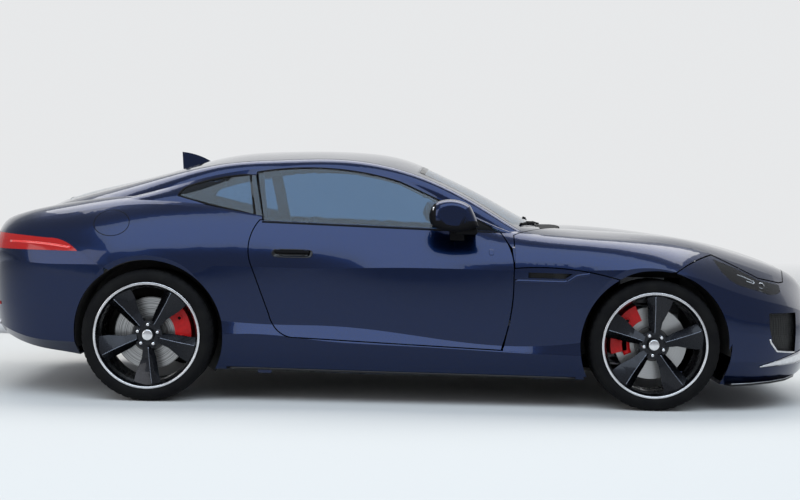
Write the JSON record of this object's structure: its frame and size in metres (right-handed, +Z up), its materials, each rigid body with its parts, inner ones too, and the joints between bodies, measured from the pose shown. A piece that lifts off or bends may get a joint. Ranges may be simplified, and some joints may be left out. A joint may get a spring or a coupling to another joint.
{
  "type": "two-seat coupe car",
  "caption": "Low two-seat fastback coupe with a front-hinged clamshell bonnet, opening doors and tailgate, steered front wheels and twisted-spoke alloy wheels.",
  "frame": {"origin": "on the ground, under the middle of the car's length and width", "axes": "+X to the front of the car, +Y to its left, +Z up"},
  "size_m": [4.47, 2.042, 1.3301],
  "materials": {
    "paint": "gloss metallic",
    "underbody": "matt",
    "black_trim": "gloss",
    "glass": "tinted",
    "lamp": "clear",
    "red_lamp": "gloss",
    "rim": "gloss",
    "tyre": "matt",
    "iron": "machined",
    "caliper": "gloss",
    "alloy": "cast",
    "steel": "satin",
    "leather": "fine grain",
    "soft_trim": "matt"
  },
  "bodies": {
    "body": {"rear_quarters": "paint", "sills": "paint", "roof": "paint", "windscreen_pillars": "paint", "cowl": "black_trim", "front_bumper": "paint", "rear_bumper": "paint", "lower_wings": "paint", "headlamps": "lamp", "tail_lamps": "red_lamp", "hinges": "steel", "front_arms": "alloy", "rear_arms": "alloy", "front_subframe": "steel", "rear_subframe": "steel", "front_structure": "alloy", "engine": "alloy", "exhaust": "steel", "wheel_liners": "underbody", "floor_pan": "underbody", "pillars": "black_trim", "bulkheads": "underbody", "seats": "leather", "dashboard": "soft_trim", "grille": "black_trim", "windscreen": "glass", "quarter_glass": "glass", "rear_calipers": "caliper", "rear_uprights": "alloy"},
    "door_right": {"door_right": "paint", "door_glass_right": "glass", "door_mirror_right": "paint"},
    "knuckle_right": {"front_upright_right": "alloy", "front_caliper_right": "caliper"},
    "tie_rod_right": {"tie_rod_right": "steel"},
    "wheel_front_right": {"front_tyre_right": "tyre", "front_rim_right": "rim", "front_disc_right": "iron"},
    "wheel_rear_right": {"rear_tyre_right": "tyre", "rear_rim_right": "rim", "rear_disc_right": "iron"},
    "door_left": {"door_left": "paint", "door_glass_left": "glass", "door_mirror_left": "paint"},
    "knuckle_left": {"front_upright_left": "alloy", "front_caliper_left": "caliper"},
    "tie_rod_left": {"tie_rod_left": "steel"},
    "wheel_front_left": {"front_tyre_left": "tyre", "front_rim_left": "rim", "front_disc_left": "iron"},
    "wheel_rear_left": {"rear_tyre_left": "tyre", "rear_rim_left": "rim", "rear_disc_left": "iron"},
    "bonnet": {"bonnet": "paint"},
    "tailgate": {"tailgate": "paint", "tailgate_glass": "glass", "antenna_fin": "black_trim"},
    "steering_wheel": {"steering_wheel": "leather"}
  },
  "joints": [
    {"name": "door_right_hinge", "type": "hinge", "parent": "body", "child": "door_right", "pos_m": [0.43, -0.88, 0.56], "axis": [0, 0, 1], "range_deg": [0, 68]},
    {"name": "door_left_hinge", "type": "hinge", "parent": "body", "child": "door_left", "pos_m": [0.43, 0.88, 0.56], "axis": [0, 0, -1], "range_deg": [0, 68]},
    {"name": "bonnet_hinge", "type": "hinge", "parent": "body", "child": "bonnet", "pos_m": [2.14, 0, 0.632], "axis": [0, 1, 0], "range_deg": [0, 45]},
    {"name": "tailgate_hinge", "type": "hinge", "parent": "body", "child": "tailgate", "pos_m": [-1.075, 0, 1.208], "axis": [0, 1, 0], "range_deg": [0, 60]},
    {"name": "steer_right", "type": "hinge", "parent": "body", "child": "knuckle_right", "pos_m": [1.285, -0.7075, 0.34], "axis": [0, 0, 1], "range_deg": [-32, 32]},
    {"name": "steer_left", "type": "hinge", "parent": "body", "child": "knuckle_left", "pos_m": [1.285, 0.7075, 0.34], "axis": [0, 0, 1], "range_deg": [-32, 32]},
    {"name": "tie_rod_right_turn", "type": "hinge", "parent": "knuckle_right", "child": "tie_rod_right", "pos_m": [1.405, -0.7075, 0.24], "axis": [0, 0, 1], "range_deg": [-32, 32]},
    {"name": "tie_rod_left_turn", "type": "hinge", "parent": "knuckle_left", "child": "tie_rod_left", "pos_m": [1.405, 0.7075, 0.24], "axis": [0, 0, 1], "range_deg": [-32, 32]},
    {"name": "steering_wheel_turn", "type": "hinge", "parent": "body", "child": "steering_wheel", "pos_m": [0.21, 0.37, 0.79], "axis": [-0.92, 0, 0.392], "range_deg": [-420, 420]},
    {"name": "wheel_front_right_spin", "type": "hinge", "parent": "knuckle_right", "child": "wheel_front_right", "pos_m": [1.285, -0.79, 0.34], "axis": [0, 1, 0], "continuous": true},
    {"name": "wheel_rear_right_spin", "type": "hinge", "parent": "body", "child": "wheel_rear_right", "pos_m": [-1.337, -0.805, 0.34], "axis": [0, 1, 0], "continuous": true},
    {"name": "wheel_front_left_spin", "type": "hinge", "parent": "knuckle_left", "child": "wheel_front_left", "pos_m": [1.285, 0.79, 0.34], "axis": [0, 1, 0], "continuous": true},
    {"name": "wheel_rear_left_spin", "type": "hinge", "parent": "body", "child": "wheel_rear_left", "pos_m": [-1.337, 0.805, 0.34], "axis": [0, 1, 0], "continuous": true}
  ],
  "couplings": [
    {"joint": "tie_rod_right_turn", "follows": "steer_right", "ratio": -1},
    {"joint": "tie_rod_left_turn", "follows": "steer_right", "ratio": -1},
    {"joint": "steer_left", "follows": "steer_right", "ratio": 1},
    {"joint": "steering_wheel_turn", "follows": "steer_right", "ratio": 13}
  ]
}
